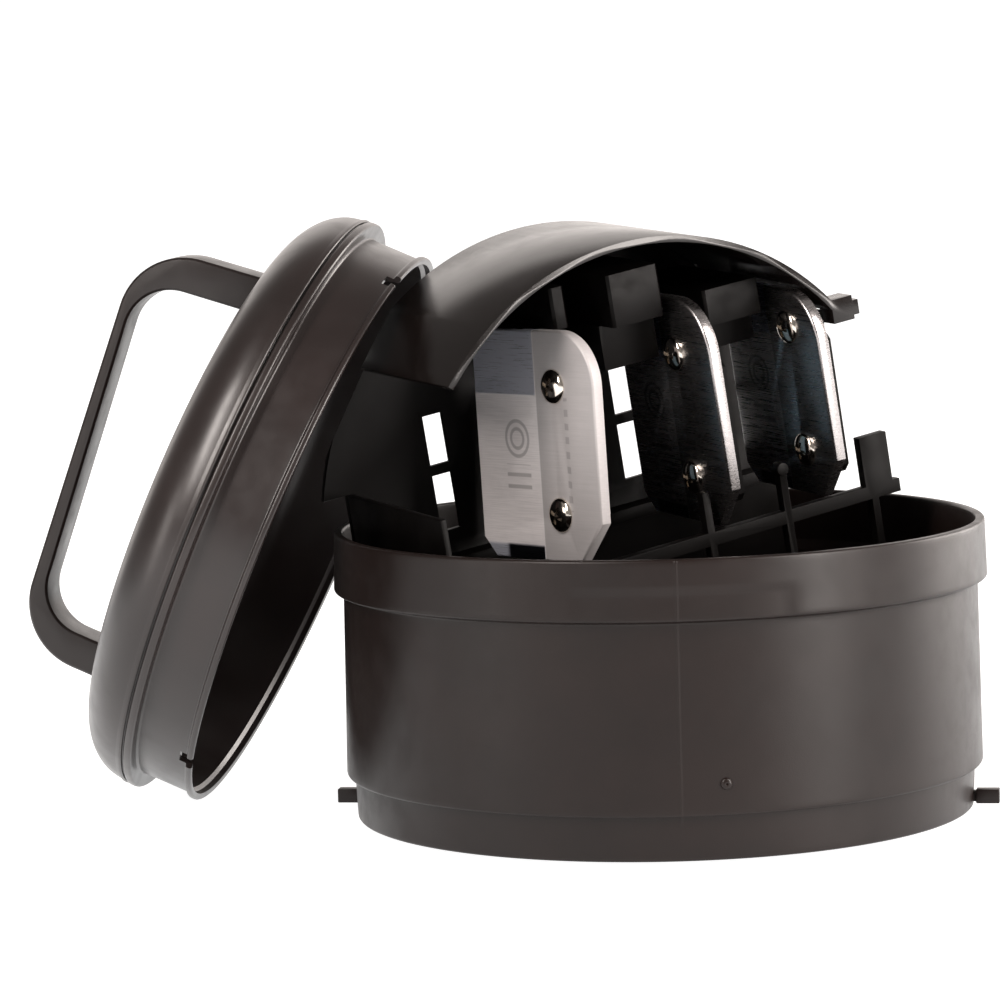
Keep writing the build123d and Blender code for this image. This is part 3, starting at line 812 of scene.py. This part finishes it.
def screw_set(name, places, sizes, finish):
    """Screws at the given places and axes, as one plain mesh."""
    mesh = bpy.data.meshes.new(name)
    mesh.from_pydata([tuple(spot) for spot, _ in places], [], [])
    layer = mesh.attributes.new("screw_axis", "FLOAT_VECTOR", "POINT")
    for index, (_, way) in enumerate(places):
        layer.data[index].vector = tuple(way)
    piece = link(mesh, name)
    tree = bpy.data.node_groups.get("Screw Set") or screw_tree()
    step = piece.modifiers.new("Screws", "NODES")
    step.node_group = tree
    for item in tree.interface.items_tree:
        if item.in_out == "INPUT" and item.name in sizes:
            step[item.identifier] = sizes[item.name]
        if item.in_out == "INPUT" and item.name == "Finish":
            step[item.identifier] = finish
    baked(piece)
    if len(piece.data.polygons) == 0:
        raise RuntimeError(name + " came out empty")
    if "screw_axis" in piece.data.attributes:
        piece.data.attributes.remove(piece.data.attributes["screw_axis"])
    smooth(piece.data, 35)
    return piece


# Operators --------------------------------------------------------------------------------

class BaitStationTub(bpy.types.Operator):
    """Builds the round tub with its collar, seams and side pegs"""
    bl_idname = "bait_station.tub"
    bl_label = "Tub"

    def execute(self, context):
        piece = link(tub_mesh(), "tub_wall")
        smooth(piece.data, 34)
        fit_piece(piece, material("tub_satin"), "tub", "tub_plastic", "tub_shell")
        pegs = merged_copy("side_pegs", settings().edge_radius * 0.7)
        fit_piece(pegs, material("tub_satin"), "tub", "tub_plastic", "side_pegs")
        return {"FINISHED"}


class BaitStationLid(bpy.types.Operator):
    """Builds the domed lid with its ridge, groove and lip notches"""
    bl_idname = "bait_station.lid"
    bl_label = "Lid"

    def execute(self, context):
        piece = link(lid_mesh(), "lid_dome")
        notch = Vector(NOTCH_SIZE) * MM
        cut_away(piece, [(notch, Vector((NOTCH_RADIUS * MM, 0, 0)), math.radians(a))
                         for a in NOTCH_TURNS])
        piece.data.transform(LID)
        smooth(piece.data, 34)
        fit_piece(piece, material("lid_gloss"), "lid", "lid_plastic", "lid_shell")
        return {"FINISHED"}


class BaitStationHandle(bpy.types.Operator):
    """Finishes the strap handle across the lid and its screws"""
    bl_idname = "bait_station.handle"
    bl_label = "Lid handle"

    def execute(self, context):
        strap = merged_copy("lid_handle", settings().edge_radius * 0.9)
        fit_piece(strap, material("handle_satin"), "lid", "handle_plastic", "lid_handle")
        wear_material(frame["nodes"]["handle_screws"].data, material("screw_steel"))
        return {"FINISHED"}


class BaitStationCarrier(bpy.types.Operator):
    """Finishes the inner carrier: drum, hood, trough, grille and guide blocks"""
    bl_idname = "bait_station.carrier"
    bl_label = "Carrier"

    def execute(self, context):
        radius = settings().edge_radius
        for node, finish, slot in (
                ("carrier_back_plate", "carrier_dull_painted_shade", "carrier_plastic"),
                ("carrier_trough", "carrier_dull_painted_shade", "carrier_plastic"),
                ("front_grille", "carrier_dull_painted_shade", "carrier_plastic"),
                ("carrier_hood", "hood_satin", "hood_plastic"),
                ("guide_blocks", "block_dull", "block_plastic")):
            fit_piece(merged_copy(node, radius), material(finish), "carrier", slot, node)
        return {"FINISHED"}


class BaitStationCassettes(bpy.types.Operator):
    """Finishes the three bait cassettes: face plate, tray, bait and rod"""
    bl_idname = "bait_station.cassettes"
    bl_label = "Cassettes"

    def execute(self, context):
        for k in (1, 2, 3):
            for part, rounding, finish, slot in (
                    ("face_plate", 0.5, f"plate_metal_{k}", "plate_metal"),
                    ("bait_tray", 0.8, "tray_dull", "tray_plastic"),
                    ("bait_block", 0.8, "bait_wax", "bait"),
                    ("bait_rod", 0.4, "rod_steel", "rod_steel")):
                piece = merged_copy(f"{part}_{k}", settings().edge_radius * rounding)
                fit_piece(piece, material(finish), f"cassette_{k}", slot, f"{part}_{k}")
        return {"FINISHED"}


class BaitStationScrewSets(bpy.types.Operator):
    """Sets the screws of the face plates and of the guide blocks"""
    bl_idname = "bait_station.screws"
    bl_label = "Screws"

    def execute(self, context):
        sizes = context.scene.bait_station_screws
        for k, (place, setback, _) in enumerate(CASSETTES, start=1):
            out = -(place.to_3x3() @ Vector((0, 1, 0)))
            spots = [(place @ (Vector((-setback, 0, z)) * MM), out) for z in SCREW_HEIGHTS]
            piece = screw_set(f"face_screw_set_{k}", spots, {
                "Head Radius": sizes.head_radius, "Head Height": sizes.head_height,
                "Recess Width": sizes.recess_width, "Recess Reach": sizes.recess_reach,
                "Shank Length": 0.0115}, material("screw_nickel"))
            fit_piece(piece, material("screw_nickel"), f"cassette_{k}", "screw_nickel",
                      f"face_screws_{k}")
        back = -(CARRIER.to_3x3() @ Vector((1, 0, 0)))
        spots = [(on_carrier(-DRUM_DEPTH, y, z), back) for y, z in BLOCK_SCREWS]
        piece = screw_set("block_screw_set", spots, {
            "Head Radius": 0.0028, "Head Height": 0.0016, "Recess Width": 0.0007,
            "Recess Reach": 0.0032, "Recess Depth": 0.0008, "Shank Radius": 0.0013,
            "Shank Length": 0.0124}, material("screw_steel"))
        fit_piece(piece, material("screw_steel"), "carrier", "screw_steel", "block_screws")
        return {"FINISHED"}


def soft_light(name, spot, aim, size, power, tint, width):
    """A rectangular lamp of that height and width, turned to face a point."""
    lamp = bpy.data.lights.new(name, "AREA")
    lamp.shape = "RECTANGLE"
    lamp.size = width
    lamp.size_y = size
    lamp.energy = power
    lamp.color = tint
    holder = bpy.data.objects.new(name, lamp)
    bpy.context.scene.collection.objects.link(holder)
    holder.location = spot
    holder.rotation_euler = (Vector(aim) - Vector(spot)).to_track_quat("-Z", "Y").to_euler()
    return holder


def studio_surroundings(scene, brightness):
    """White studio: a bright sweep behind the object, dimmer overhead and to the sides."""
    world = bpy.data.worlds.new("studio")
    scene.world = world
    world.use_nodes = True
    nodes, wires = world.node_tree.nodes, world.node_tree.links
    lit = nodes["Background"]
    plain = nodes.new("ShaderNodeBackground")
    plain.inputs["Color"].default_value = (1.0, 1.0, 1.0, 1)
    plain.inputs["Strength"].default_value = 1.1
    way = nodes.new("ShaderNodeTexCoord")
    parts = nodes.new("ShaderNodeSeparateXYZ")
    wires.new(way.outputs["Generated"], parts.inputs[0])
    sweep = nodes.new("ShaderNodeMapRange")
    sweep.interpolation_type = "SMOOTHSTEP"
    for name, number in (("From Min", 0.70), ("From Max", 0.81), ("To Min", 0.26),
                         ("To Max", 1.45)):
        sweep.inputs[name].default_value = number * (brightness if "To" in name else 1.0)
    wires.new(parts.outputs["Y"], sweep.inputs["Value"])
    lit.inputs["Color"].default_value = (*WARM, 1)
    wires.new(sweep.outputs["Result"], lit.inputs["Strength"])
    ray = nodes.new("ShaderNodeLightPath")
    choice = nodes.new("ShaderNodeMixShader")
    wires.new(ray.outputs["Is Camera Ray"], choice.inputs["Fac"])
    wires.new(lit.outputs[0], choice.inputs[1])
    wires.new(plain.outputs[0], choice.inputs[2])
    wires.new(choice.outputs[0], nodes["World Output"].inputs["Surface"])


class BaitStationStageSet(bpy.types.Operator):
    """Sets the pale floor, the soft lights and the camera"""
    bl_idname = "bait_station.stage"
    bl_label = "Stage"

    def execute(self, context):
        stage = context.scene.bait_station_stage
        shape = bmesh.new()
        bmesh.ops.create_grid(shape, x_segments=4, y_segments=4, size=40.0)
        mesh = bpy.data.meshes.new("floor")
        shape.to_mesh(mesh)
        shape.free()
        floor = link(mesh, "floor")
        paper = Nodes("pale_floor")
        tone = paper.blend(paper.noise(3.0, 2.0), (0.40, 0.40, 0.40), (0.42, 0.42, 0.42))
        paper.wire(tone, paper.surface.inputs["Base Color"])
        paper.surface.inputs["Roughness"].default_value = 0.9
        paper.surface.inputs["Specular IOR Level"].default_value = 0.1
        paper.surface.inputs["Emission Color"].default_value = (1.0, 1.0, 1.0, 1)
        paper.surface.inputs["Emission Strength"].default_value = 0.98
        wear_material(floor.data, paper.material)
        studio_surroundings(context.scene, stage.sky)
        centre = Vector((-0.05, 0.0, 0.11))
        soft_light("left_strip", (-0.92, -1.12, 1.16), (-0.16, -0.05, 0.14), 1.15, 27.0,
                   tint=WARM, width=0.34)
        soft_light("right_box", (1.5, 0.80, 0.45), centre, 1.1, 38.0, tint=WARM, width=1.3)
        soft_light("front_right", (1.30, -0.92, 0.62), (0.03, 0.0, 0.15), 1.7, 46.0,
                   tint=WARM, width=0.45)
        soft_light("front_left", (-1.7, -0.9, 0.35), (-0.05, 0.0, 0.14), 0.8, 5.5,
                   tint=WARM, width=0.5)

        lens = bpy.data.cameras.new("camera")
        lens.lens = LENS
        lens.sensor_width = 36.0
        lens.clip_end = 200.0
        camera = bpy.data.objects.new("camera", lens)
        context.scene.collection.objects.link(camera)
        away = Vector((0, -math.cos(stage.elevation), math.sin(stage.elevation)))
        camera.location = CAMERA_TARGET + away * stage.distance
        facing = (-away).to_track_quat("-Z", "Y").to_matrix().to_4x4()
        tilt = Matrix.Rotation(CAMERA_ROLL, 4, "Z")
        camera.rotation_euler = (facing @ tilt).to_euler()
        context.scene.camera = camera
        context.scene.view_settings.view_transform = "Standard"
        return {"FINISHED"}


class BaitStationPanel(bpy.types.Panel):
    """Lists the bait station's sizes and pieces in the sidebar"""
    bl_idname = "VIEW3D_PT_bait_station"
    bl_label = "Bait Station"
    bl_space_type = "VIEW_3D"
    bl_region_type = "UI"
    bl_category = "Bait Station"

    def draw(self, context):
        scene = context.scene
        for group in (scene.bait_station_shape, scene.bait_station_screws,
                      scene.bait_station_colours, scene.bait_station_stage):
            box = self.layout.box()
            for key in group.__annotations__:
                box.prop(group, key)
        for maker in OPERATORS:
            self.layout.operator(maker.bl_idname)


GROUPS = (BaitStationShape, BaitStationScrews, BaitStationColours, BaitStationStage)
OPERATORS = (BaitStationTub, BaitStationLid, BaitStationHandle, BaitStationCarrier,
             BaitStationCassettes, BaitStationScrewSets, BaitStationStageSet)
POINTERS = {
    "bait_station_shape": BaitStationShape, "bait_station_screws": BaitStationScrews,
    "bait_station_colours": BaitStationColours, "bait_station_stage": BaitStationStage,
}


def register():
    for kind in GROUPS + OPERATORS + (BaitStationPanel,):
        bpy.utils.register_class(kind)
    for name, kind in POINTERS.items():
        setattr(bpy.types.Scene, name, PointerProperty(type=kind))


def unregister():
    for name in POINTERS:
        delattr(bpy.types.Scene, name)
    for kind in reversed(GROUPS + OPERATORS + (BaitStationPanel,)):
        bpy.utils.unregister_class(kind)


def main():
    register()
    bpy.ops.bait_station.tub()
    bpy.ops.bait_station.lid()
    bpy.ops.bait_station.handle()
    bpy.ops.bait_station.carrier()
    bpy.ops.bait_station.cassettes()
    bpy.ops.bait_station.screws()
    bpy.ops.bait_station.stage()


if __name__ == "__main__":
    main()
